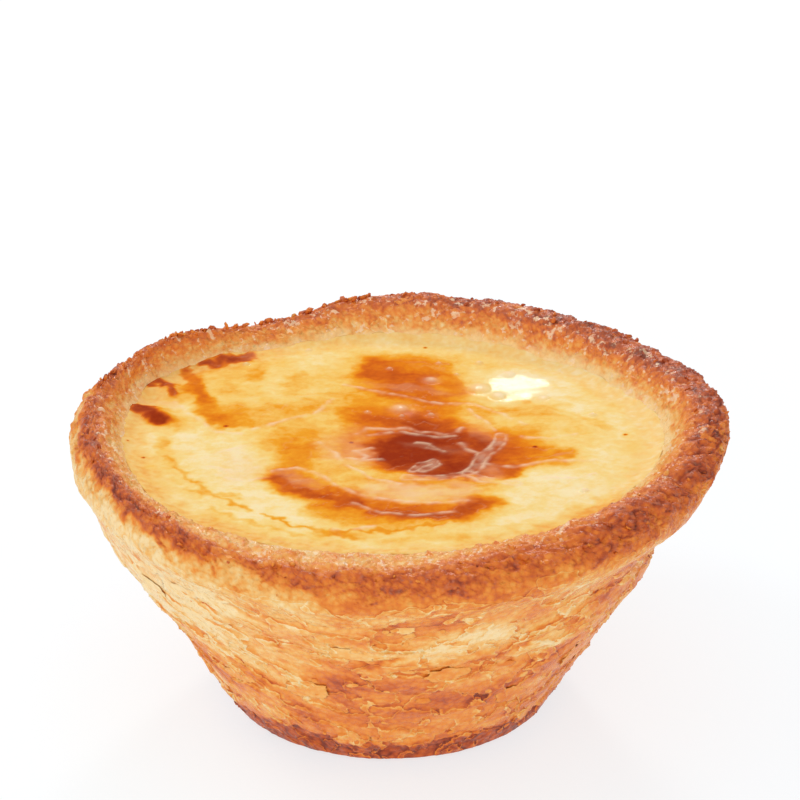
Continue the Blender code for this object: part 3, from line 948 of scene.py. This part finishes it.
def skin_looks(x, y, flat):
    """(tone, pale film and painted reflections, wrinkles and painted glints) of the custard's skin
    at points in mm.
    """
    sway = drift(flat, 5.0, 61) + drift(flat, 1.8, 62) * 0.7 + drift(flat, 0.7, 63) * 0.35
    sx, sy = x + sway[:, 0], y + sway[:, 1]
    tone = 0.13 + 0.08 * grain(flat, 5.0, 64, octaves=3)
    for target, at_x, at_y, length, width, turn, strength in SKIN_TONES:
        tone += (target - tone) * strength * in_spot(sx, sy, at_x, at_y, length, width, turn)
    for target, width, strength, line in SKIN_STROKES:
        tone += (target - tone) * strength * np.exp(-((from_line(sx, sy, line) / width) ** 3))
    film_and_reflection = np.zeros(len(x))
    for at_x, at_y, length, width, turn, strength in FILM_AND_REFLECTION_SPOTS:
        spot = strength * in_spot(sx, sy, at_x, at_y, length, width, turn)
        film_and_reflection = film_and_reflection + spot - film_and_reflection * spot
    film_and_reflection *= 0.8 + 0.35 * grain(flat * [1.0, 2.0, 1.0], 2.4, 65, octaves=2)
    wrinkle_and_glint = np.zeros(len(x))
    for width, line in WRINKLES:
        away = from_line(x + sway[:, 0] * 0.3, y + sway[:, 1] * 0.3, line)
        thin = 0.9 * bell(away, 0.8 * width + 0.05)
        banded = np.maximum(bell(away - 1.1 * width, 0.45 * width), 0.5 * bell(away, 1.3 * width))
        wrinkle_and_glint = np.maximum(wrinkle_and_glint, banded if width > 0.35 else thin)
    wrinkle_and_glint *= np.clip(0.75 + 0.9 * grain(flat, 1.3, 66, octaves=2), 0.15, 1.1)
    swirled = np.column_stack([sx * 0.7, sy * 1.1, np.zeros(len(x))])
    swirl = 1.0 - smooth(0.0, 0.07, np.abs(grain(swirled, 3.4, 67, octaves=2)))
    wrinkle_and_glint = np.maximum(wrinkle_and_glint, 0.22 * swirl * smooth(-0.2, 0.3, grain(flat, 7.0, 68)))
    tone += 0.08 * grain(swirled, 1.8, 69, octaves=4)
    # Each bubble is also drawn pale: a painted glint on its top.
    for at_x, at_y, radius, _ in BUBBLES:
        away = np.hypot(x - at_x, y - at_y)
        wrinkle_and_glint = np.maximum(wrinkle_and_glint, bell(away, 0.8 * radius))
    for at_x, at_y in SPECKS:
        tone += 0.8 * bell(np.hypot(x - at_x, y - at_y), 0.2)
    return tone, film_and_reflection, wrinkle_and_glint


def skin_relief(x, y, flat, film_and_reflection, wrinkle_and_glint):
    """How high the custard's skin stands at points in mm, in mm."""
    lazy = flat * [0.7, 1.3, 1.0]
    relief = 0.05 * grain(flat, 7.0, 71) + 0.008 * grain(lazy, 2.2, 72)
    relief -= 0.30 * in_spot(x, y, 1.0, -3.0, 14.0, 16.5, 0, 1)
    relief += 0.40 * in_spot(x, y, -15.0, 12.0, 9.0, 11.0, 20, 1.2)
    lit = in_spot(x, y, 13.2, 14.4, 4.0, 5.4, -12, 2)
    relief += lit * (0.09 * (y - 14.4) + 0.05 * grain(flat, 2.2, 73))
    relief += 0.75 * in_spot(x, y, -27.2, 6.4, 2.6, 1.6, -35, 2)
    relief += 0.65 * in_spot(x, y, -27.0, 13.2, 2.6, 1.9, -50, 2)
    relief += 0.55 * in_spot(x, y, -20.6, 22.4, 3.0, 1.6, 48, 2)
    relief += 0.09 * wrinkle_and_glint + 0.02 * film_and_reflection
    for at_x, at_y, radius, rise in BUBBLES:
        away = np.hypot(x - at_x, y - at_y) / radius
        relief += rise * np.sqrt(np.clip(1.0 - away**2, 0.0, 1.0))
    return relief


def skin_gloss(x, y, wrinkle_and_glint):
    """Where the skin is wet enough to mirror a light: a pool at the back, and the bubbles."""
    gloss = in_spot(x, y, 12.8, 14.4, 6.0, 7.0, 0, 3)
    for at_x, at_y, radius, _ in BUBBLES:
        gloss = np.maximum(gloss, bell(np.hypot(x - at_x, y - at_y), 1.2 * radius))
    return gloss * (1.0 - 0.8 * wrinkle_and_glint * (gloss < 0.5))


def make_custard():
    """The custard: a skin with caramelised patches and wrinkles over a plain solid filling."""
    shape = bmesh.new()
    bmesh.ops.create_grid(shape, x_segments=CUSTARD_CELLS, y_segments=CUSTARD_CELLS, size=1.0)
    rim = [edge for edge in shape.edges if edge.is_boundary]
    edge_radius = FILLING_RADIUS + 0.7 * MM
    skin_level = FILLING_LEVEL - 0.3 * MM
    for vertex in shape.verts:
        x, y = vertex.co.x, vertex.co.y
        disc = Vector((x * math.sqrt(1.0 - y * y / 2.0), y * math.sqrt(1.0 - x * x / 2.0), 0.0))
        vertex.co = disc * edge_radius + Vector((0.0, 0.0, skin_level))
    sides = [
        (FILLING_RADIUS - 0.3 * MM, FILLING_LEVEL - 2.4 * MM),
        (FLOOR_RADIUS - 0.5 * MM, FLOOR_HEIGHT + 0.9 * MM),
    ]
    for radius, height in sides:
        made = bmesh.ops.extrude_edge_only(shape, edges=rim)["geom"]
        rim = [part for part in made if isinstance(part, bmesh.types.BMEdge) and part.is_boundary]
        for vertex in {vertex for edge in rim for vertex in edge.verts}:
            across = Vector((vertex.co.x, vertex.co.y, 0.0)).normalized()
            vertex.co = across * radius + Vector((0.0, 0.0, height))
    bmesh.ops.contextual_create(shape, geom=rim)
    bmesh.ops.recalc_face_normals(shape, faces=shape.faces)
    mesh = as_mesh("custard_filling", shape)

    turned = places(mesh)
    on_skin = turned[:, 2] > skin_level - 0.1 * MM
    reach = np.hypot(turned[:, 0], turned[:, 1]) / edge_radius
    settled = settle(turned)
    x, y = settled[:, 0] / MM, settled[:, 1] / MM
    flat = np.column_stack([x, y, np.zeros(len(x))])
    tone, film_and_reflection, wrinkle_and_glint = skin_looks(x, y, flat)
    relief = skin_relief(x, y, flat, film_and_reflection, wrinkle_and_glint)
    meniscus = smooth(0.88, 1.0, reach)
    bordering = smooth(0.86, 0.97, reach + 0.05 * grain(flat, 2.0, 76, octaves=2))
    browned = smooth(0.45, 0.60, tone) * smooth(-16.0, -19.0, x)
    # The edge also gets some of the pale tint: a painted sheen that lightens the shaded lip.
    film_and_reflection = (film_and_reflection + 0.30 * bordering * (1.0 - film_and_reflection)) * (1.0 - 0.85 * browned)
    edge_tone = round_table(EDGE_TONES, 1, angle_of(turned))
    tone += (edge_tone - tone) * 0.85 * bordering * (tone < 0.5)
    tone += 0.10 * bordering * grain(flat, 0.8, 77, octaves=2)
    creep = 0.40 + 0.22 * grain(flat, 2.6, 75, octaves=2)
    relief = relief * (1.0 - 0.6 * meniscus) + creep * meniscus**3
    settled[:, 2] += np.where(on_skin, relief * MM, 0.0)
    put_places(mesh, settled)
    put_value(mesh, "tone", tone)
    put_value(mesh, "film_and_reflection", film_and_reflection)
    put_value(mesh, "wrinkle_and_glint", wrinkle_and_glint)
    put_value(mesh, "gloss", skin_gloss(x, y, wrinkle_and_glint) * (1.0 - smooth(0.86, 0.95, reach)))
    return mesh


# Materials


def new_material(name):
    """A material and its Principled BSDF."""
    made = bpy.data.materials.new(name)
    made.use_nodes = True
    return made, made.node_tree.nodes["Principled BSDF"]


def node(tree, kind, **settings):
    made = tree.nodes.new(kind)
    for name, value in settings.items():
        setattr(made, name, value)
    return made


def linked(tree, socket, value):
    """Links an output to the socket, or gives the socket a plain number."""
    if isinstance(value, bpy.types.NodeSocket):
        tree.links.new(value, socket)
    else:
        socket.default_value = value


def noise_texture(tree, place, scale, detail=3.0, roughness=0.5):
    """A noise texture that reads the given coordinates."""
    made = node(tree, "ShaderNodeTexNoise")
    made.inputs["Scale"].default_value = scale
    made.inputs["Detail"].default_value = detail
    made.inputs["Roughness"].default_value = roughness
    tree.links.new(place, made.inputs["Vector"])
    return made.outputs["Fac"]


def mapped(tree, value, from_low, from_high, to_low=0.0, to_high=1.0):
    """The value moved from one range to another."""
    made = node(tree, "ShaderNodeMapRange", clamp=True)
    tree.links.new(value, made.inputs["Value"])
    made.inputs["From Min"].default_value = from_low
    made.inputs["From Max"].default_value = from_high
    made.inputs["To Min"].default_value = to_low
    made.inputs["To Max"].default_value = to_high
    return made.outputs["Result"]


def calculated(tree, operation, first, second):
    """Two values or numbers put together."""
    made = node(tree, "ShaderNodeMath", operation=operation)
    linked(tree, made.inputs[0], first)
    linked(tree, made.inputs[1], second)
    return made.outputs["Value"]


def total(tree, *terms):
    """The sum of (value, weight) terms."""
    summed = 0.0
    for value, weight in terms:
        summed = calculated(tree, "ADD", calculated(tree, "MULTIPLY", value, weight), summed)
    return summed


def moved(tree, place, operation, amount):
    """Coordinates scaled, or shifted, by a vector."""
    made = node(tree, "ShaderNodeVectorMath", operation=operation)
    tree.links.new(place, made.inputs[0])
    made.inputs[1].default_value = amount
    return made.outputs["Vector"]


def ramp(tree, value, stops):
    """A colour ramp over the value, with (position, colour) stops."""
    made = node(tree, "ShaderNodeValToRGB")
    elements = made.color_ramp.elements
    while len(elements) < len(stops):
        elements.new(1.0)
    for element, (position, colour) in zip(elements, stops):
        element.position = position
        element.color = (*colour, 1.0)
    tree.links.new(value, made.inputs["Fac"])
    return made.outputs["Color"]


def blended(tree, share, first, second):
    """One colour laid over another by a share."""
    made = node(tree, "ShaderNodeMix", data_type="RGBA", clamp_factor=True)
    linked(tree, made.inputs["Factor"], share)
    linked(tree, made.inputs["A"], first)
    linked(tree, made.inputs["B"], second)
    return made.outputs["Result"]


def new_group(name, inputs, outputs):
    """A shader group, and its input and output nodes."""
    group = bpy.data.node_groups.new(name, "ShaderNodeTree")
    for label, kind in inputs:
        group.interface.new_socket(label, in_out="INPUT", socket_type=kind)
    for label, kind in outputs:
        group.interface.new_socket(label, in_out="OUTPUT", socket_type=kind)
    return group, node(group, "NodeGroupInput"), node(group, "NodeGroupOutput")


PASTRY_COLOURS = [
    (0.00, (0.95, 0.71, 0.37)),
    (0.15, (0.925, 0.575, 0.21)),
    (0.30, (0.90, 0.43, 0.100)),
    (0.45, (0.86, 0.29, 0.042)),
    (0.60, (0.77, 0.195, 0.024)),
    (0.75, (0.60, 0.115, 0.020)),
    (0.88, (0.40, 0.065, 0.018)),
    (1.00, (0.21, 0.032, 0.013)),
]


CUSTARD_COLOURS = [
    (0.00, (0.95, 0.78, 0.45)),
    (0.12, (0.93, 0.68, 0.26)),
    (0.25, (0.92, 0.565, 0.135)),
    (0.40, (0.88, 0.36, 0.026)),
    (0.55, (0.80, 0.225, 0.012)),
    (0.70, (0.66, 0.130, 0.013)),
    (0.85, (0.47, 0.070, 0.012)),
    (1.00, (0.32, 0.034, 0.009)),
]
# Colour of the lifted film and of the painted reflections on the skin.
FILM_AND_REFLECTION_COLOUR = (0.89, 0.53, 0.32, 1.0)
# Colour of the pale wrinkles and of the painted glints on the bubbles.
WRINKLE_AND_GLINT_COLOUR = (0.96, 0.72, 0.50, 1.0)


def torn_layers_group():
    """Shader group: the ragged edges of torn sheets, as a tone to add and a height; the pale lips
    and darker gaps in the tone are in part painted highlight and painted shade.
    """
    group, inputs, outputs = new_group(
        "torn_layers",
        [
            ("Spread", "NodeSocketVector"),
            ("Large", "NodeSocketFloat"),
            ("Small", "NodeSocketFloat"),
        ],
        [("Tone", "NodeSocketFloat"), ("Height", "NodeSocketFloat")],
    )
    place = inputs.outputs["Spread"]
    tears = noise_texture(group, place, 0.8, 5.0, 0.62)
    broken = noise_texture(group, moved(group, place, "ADD", (9.0, 4.0, 2.0)), 0.45, 2.0, 0.5)
    tones, heights = [], []
    for label, ragged, lip_width, gap_width in (
        ("Large", 0.16, 0.045, 0.08),
        ("Small", 0.22, 0.055, 0.08),
    ):
        cover = total(group, (tears, ragged), (inputs.outputs[label], 1.0), (1.0, -0.5 * ragged))
        sheet = mapped(group, cover, 0.497, 0.503)
        step = mapped(group, cover, 0.485, 0.505)
        lip = mapped(group, cover, 0.5, 0.5 + lip_width, 1.0, 0.0)
        lip = calculated(group, "MULTIPLY", sheet, lip)
        gap = mapped(group, cover, 0.5 - gap_width, 0.5)
        gap = calculated(group, "MULTIPLY", gap, calculated(group, "SUBTRACT", 1.0, sheet))
        gap = calculated(group, "MULTIPLY", gap, mapped(group, broken, 0.38, 0.58))
        heights += [(step, 0.12), (lip, 0.08)]
        # Pale lips: partly the thin edges' own colour, partly painted highlight. Darker gaps below
        # them: partly the cracks' own colour, partly painted shade.
        tones += [(lip, -0.24), (gap, 0.18)]
    group.links.new(total(group, *tones), outputs.inputs["Tone"])
    group.links.new(total(group, *heights), outputs.inputs["Height"])
    return group


# Colour of a painted sheen: pinkish highlights of grease on the browned crust.
PAINTED_SHEEN_COLOUR = (0.80, 0.40, 0.24, 1.0)
# Colour of the painted highlights on the rim.
PAINTED_GLINT_COLOUR = (0.97, 0.69, 0.44, 1.0)


def baked_surface_group():
    """Shader group: turns how brown a spot is into its colour and roughness, with a painted
    pinkish sheen of grease over fine spots where the input asks for it.
    """
    group, inputs, outputs = new_group(
        "baked_surface",
        [
            ("Tone", "NodeSocketFloat"),
            ("Mottle", "NodeSocketFloat"),
            ("Painted Sheen", "NodeSocketFloat"),
        ],
        [
            ("Color", "NodeSocketColor"),
            ("Roughness", "NodeSocketFloat"),
            ("Height", "NodeSocketFloat"),
        ],
    )
    where = node(group, "ShaderNodeTexCoord").outputs["Object"]
    coarse = noise_texture(group, where, 700.0, 4.0, 0.65)
    fine = noise_texture(group, where, 2300.0, 3.0, 0.65)
    granules = node(group, "ShaderNodeTexVoronoi", feature="F1")
    granules.inputs["Scale"].default_value = 1500.0
    group.links.new(where, granules.inputs["Vector"])
    between_granules = mapped(group, granules.outputs["Distance"], 0.25, 0.75)
    # Granule edges sit lower and are drawn browner: painted shade between the granules.
    spots = total(group, (coarse, 1.0), (fine, 0.7), (between_granules, 0.5))
    spots = calculated(group, "SUBTRACT", spots, 1.05)
    spots = calculated(group, "MULTIPLY", spots, inputs.outputs["Mottle"])
    brown = calculated(group, "ADD", inputs.outputs["Tone"], spots)
    fine_spots = mapped(group, fine, 0.50, 0.62)
    # Painted sheen of grease on fine spots over the coarse lumps.
    painted_sheen = calculated(group, "MULTIPLY", fine_spots, mapped(group, coarse, 0.44, 0.6))
    painted_sheen = calculated(group, "MULTIPLY", painted_sheen, inputs.outputs["Painted Sheen"])
    colour = blended(group, painted_sheen, ramp(group, brown, PASTRY_COLOURS), PAINTED_SHEEN_COLOUR)
    group.links.new(colour, outputs.inputs["Color"])
    group.links.new(mapped(group, fine, 0.35, 0.65, 0.50, 0.20), outputs.inputs["Roughness"])
    height = total(group, (coarse, 1.0), (fine, 0.5), (between_granules, -0.5))
    group.links.new(height, outputs.inputs["Height"])
    return group


def painted_glints_on(tree, share):
    """Small ragged painted highlights, like wet glints, over a share of a surface, read in its own
    coordinates.
    """
    where = node(tree, "ShaderNodeTexCoord").outputs["Object"]
    coarse = noise_texture(tree, where, 520.0, 3.0, 0.6)
    fine = noise_texture(tree, where, 1500.0, 3.0, 0.6)
    spots = mapped(tree, total(tree, (coarse, 1.0), (fine, 1.0), (share, 0.10)), 1.18, 1.27, 0.05)
    return calculated(tree, "MULTIPLY", spots, mapped(tree, share, 0.0, 0.3, 0.0, 0.75))


def pastry_material(name, surface_group, layers_group, mottle, layered, grains_and_sheen, shine, smeared_and_glinted):
    """Baked puff pastry, browned as the piece's own bake values say."""
    made, shader = new_material(name)
    tree = made.node_tree
    tone = node(tree, "ShaderNodeAttribute", attribute_name="bake").outputs["Fac"]
    spread = node(tree, "ShaderNodeAttribute", attribute_name="spread").outputs["Vector"]
    large = node(tree, "ShaderNodeAttribute", attribute_name="large_sheets").outputs["Fac"]
    small = node(tree, "ShaderNodeAttribute", attribute_name="small_sheets").outputs["Fac"]
    layers = node(tree, "ShaderNodeGroup", node_tree=layers_group)
    tree.links.new(spread, layers.inputs["Spread"])
    tree.links.new(large, layers.inputs["Large"])
    tree.links.new(small, layers.inputs["Small"])
    toned = total(tree, (layers.outputs["Tone"], layered), (tone, 1.0))
    surface = node(tree, "ShaderNodeGroup", node_tree=surface_group)
    tree.links.new(toned, surface.inputs["Tone"])
    # Painted sheen: strongest where the crust is most browned.
    tree.links.new(mapped(tree, tone, 0.45, 0.75, 0.0, grains_and_sheen), surface.inputs["Painted Sheen"])
    surface.inputs["Mottle"].default_value = mottle
    colour = surface.outputs["Color"]
    if smeared_and_glinted:
        cream = node(tree, "ShaderNodeAttribute", attribute_name="cream").outputs["Fac"]
        custard_colour = ramp(tree, toned, CUSTARD_COLOURS)
        colour = blended(tree, cream, colour, custard_colour)
        # Painted sheen: a faint layer of the glint colour over the creamed lip, lightening it
        # where it lies in shade.
        colour = blended(tree, calculated(tree, "MULTIPLY", cream, 0.4), colour, PAINTED_GLINT_COLOUR)
        # Painted highlights: small wet glints laid over the inner side in a pale colour.
        painted_glints = node(tree, "ShaderNodeAttribute", attribute_name="painted_glints").outputs["Fac"]
        colour = blended(tree, painted_glints_on(tree, painted_glints), colour, PAINTED_GLINT_COLOUR)
    tree.links.new(colour, shader.inputs["Base Color"])
    tree.links.new(surface.outputs["Roughness"], shader.inputs["Roughness"])
    relief = node(tree, "ShaderNodeBump")
    relief.inputs["Strength"].default_value = 0.8
    relief.inputs["Distance"].default_value = 0.12 * MM
    grains = (surface.outputs["Height"], 9.0 * grains_and_sheen)
    height = total(tree, (layers.outputs["Height"], layered), grains)
    tree.links.new(height, relief.inputs["Height"])
    tree.links.new(relief.outputs["Normal"], shader.inputs["Normal"])
    shader.inputs["Specular IOR Level"].default_value = shine
    return made


def custard_material():
    """Set custard under a glossy skin, caramelised as its tone values say."""
    made, shader = new_material("baked_custard_skin")
    tree = made.node_tree
    where = node(tree, "ShaderNodeTexCoord").outputs["Object"]
    tone = node(tree, "ShaderNodeAttribute", attribute_name="tone").outputs["Fac"]
    film_and_reflection = node(tree, "ShaderNodeAttribute", attribute_name="film_and_reflection").outputs["Fac"]
    wrinkle_and_glint = node(tree, "ShaderNodeAttribute", attribute_name="wrinkle_and_glint").outputs["Fac"]
    cloud = noise_texture(tree, where, 300.0, 6.0, 0.66)
    speckle = noise_texture(tree, where, 1600.0, 2.0, 0.6)
    toned = total(tree, (tone, 1.0), (cloud, 0.26), (speckle, 0.14), (1.0, -0.20))
    colour = ramp(tree, toned, CUSTARD_COLOURS)
    # Pale lifted film and painted reflections of a soft light share one colour.
    colour = blended(tree, calculated(tree, "MULTIPLY", film_and_reflection, 0.62), colour, FILM_AND_REFLECTION_COLOUR)
    # Wrinkles are drawn pale, partly their own colour and partly painted highlight where they
    # catch light; bubbles get painted glints.
    colour = blended(tree, calculated(tree, "MULTIPLY", wrinkle_and_glint, 0.55), colour, WRINKLE_AND_GLINT_COLOUR)
    tree.links.new(colour, shader.inputs["Base Color"])
    shader.inputs["Roughness"].default_value = 0.34
    shader.inputs["Specular IOR Level"].default_value = 0.0
    shader.inputs["Subsurface Weight"].default_value = 0.10
    shader.inputs["Subsurface Radius"].default_value = (1.0, 0.5, 0.2)
    shader.inputs["Subsurface Scale"].default_value = 0.6 * MM
    gloss = node(tree, "ShaderNodeAttribute", attribute_name="gloss").outputs["Fac"]
    tree.links.new(mapped(tree, gloss, 0.0, 1.0, 0.0, 0.16), shader.inputs["Coat Weight"])
    shader.inputs["Coat Roughness"].default_value = 0.11
    relief = node(tree, "ShaderNodeBump")
    relief.inputs["Strength"].default_value = 0.10
    relief.inputs["Distance"].default_value = 0.1 * MM
    tree.links.new(noise_texture(tree, where, 420.0, 3.0), relief.inputs["Height"])
    tree.links.new(relief.outputs["Normal"], shader.inputs["Normal"])
    return made


def add_piece(mesh, finish, slot, *nodes):
    """Adds a finished mesh to the tart, in the place of CAD nodes where it stands for any."""
    mesh.materials.append(finish)
    piece = bpy.data.objects.new(mesh.name, mesh)
    bpy.context.scene.collection.objects.link(piece)
    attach(piece, "root")
    if nodes:
        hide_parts(*nodes)
    return piece


# Stage

CAMERA_DISTANCE = 291.67 * MM
CAMERA_ELEVATION = math.radians(24.0)
CAMERA_AIM = Vector((0.0, 0.0, 33.83 * MM))
CAMERA_LENS = 123.5


def add_camera():
    data = bpy.data.cameras.new("camera")
    data.lens = CAMERA_LENS
    data.clip_start = 0.01
    camera = bpy.data.objects.new("camera", data)
    back = Vector((0.0, -math.cos(CAMERA_ELEVATION), math.sin(CAMERA_ELEVATION)))
    camera.location = CAMERA_AIM + back * CAMERA_DISTANCE
    camera.rotation_euler = (math.pi / 2 - CAMERA_ELEVATION, 0.0, 0.0)
    bpy.context.scene.collection.objects.link(camera)
    bpy.context.scene.camera = camera


def add_light(name, azimuth, elevation, distance, size, power, colour=(1.0, 1.0, 1.0)):
    """A soft square light that looks at the tart. Azimuth 0 is behind it, 90 to its right."""
    data = bpy.data.lights.new(name, "AREA")
    data.size = size
    data.energy = power
    data.color = colour
    light = bpy.data.objects.new(name, data)
    turn, lift = math.radians(azimuth), math.radians(elevation)
    away = Vector(
        (math.sin(turn) * math.cos(lift), math.cos(turn) * math.cos(lift), math.sin(lift))
    )
    light.location = away * distance + Vector((0.0, 0.0, 0.02))
    light.rotation_euler = away.to_track_quat("Z", "Y").to_euler()
    bpy.context.scene.collection.objects.link(light)


def add_glare(spot, tilt, distance, size, power):
    """A small light behind the tart, mirrored where the skin tilts to the camera by degrees."""
    to_camera = (bpy.context.scene.camera.location - spot).normalized()
    away = Vector((-to_camera.x, -to_camera.y, to_camera.z))
    lift = math.asin(away.z) + 2.0 * math.radians(tilt)
    flat = Vector((away.x, away.y, 0.0)).normalized()
    away = flat * math.cos(lift) + Vector((0.0, 0.0, math.sin(lift)))
    data = bpy.data.lights.new("glare", "AREA")
    data.size = size
    data.energy = power
    light = bpy.data.objects.new("glare", data)
    light.location = spot + away * distance
    light.rotation_euler = away.to_track_quat("Z", "Y").to_euler()
    bpy.context.scene.collection.objects.link(light)


def add_stage():
    """A plain pale floor under soft white light."""
    shape = bmesh.new()
    bmesh.ops.create_grid(shape, x_segments=1, y_segments=1, size=2.0)
    made, shader = new_material("pale_floor")
    shader.inputs["Base Color"].default_value = (0.31, 0.32, 0.33, 1.0)
    shader.inputs["Roughness"].default_value = 0.9
    shader.inputs["Specular IOR Level"].default_value = 0.0
    shader.inputs["Emission Color"].default_value = (0.68, 0.705, 0.72, 1.0)
    shader.inputs["Emission Strength"].default_value = 1.0
    mesh = as_mesh("floor", shape)
    mesh.materials.append(made)
    floor = bpy.data.objects.new("floor", mesh)
    bpy.context.scene.collection.objects.link(floor)

    world = bpy.data.worlds.new("studio")
    world.use_nodes = True
    world.node_tree.nodes["Background"].inputs["Color"].default_value = (1.0, 1.0, 1.0, 1.0)
    world.node_tree.nodes["Background"].inputs["Strength"].default_value = 0.76
    bpy.context.scene.world = world
    add_light("key", -75, 50, 1.0, 0.3, 1.3)
    add_light("front", 192, 18, 0.9, 0.6, 1.4)
    add_glare(Vector((13.0, 14.0, 29.6)) * MM, 5.0, 0.62, 0.085, 0.8)
    bpy.context.scene.view_settings.view_transform = "Standard"


def main():
    surface = baked_surface_group()
    layers = torn_layers_group()
    wall_finish = pastry_material("layered_pastry", surface, layers, 0.26, 1.25, 0.10, 0.2, False)
    flake_finish = pastry_material("flaked_pastry", surface, layers, 0.20, 0.0, 0.10, 0.2, False)
    rim_finish = pastry_material("browned_pastry", surface, layers, 0.30, 1.0, 0.22, 0.22, True)
    add_piece(make_wall(), wall_finish, "baked_pastry", "pastry_case")
    add_piece(make_rim(), rim_finish, "baked_pastry")
    add_piece(make_sheets(), flake_finish, "baked_pastry")
    add_piece(make_flakes(), flake_finish, "baked_pastry")
    add_piece(make_crumbs(), rim_finish, "baked_pastry")
    add_piece(make_custard(), custard_material(), "baked_custard", "custard")
    add_camera()
    add_stage()


main()
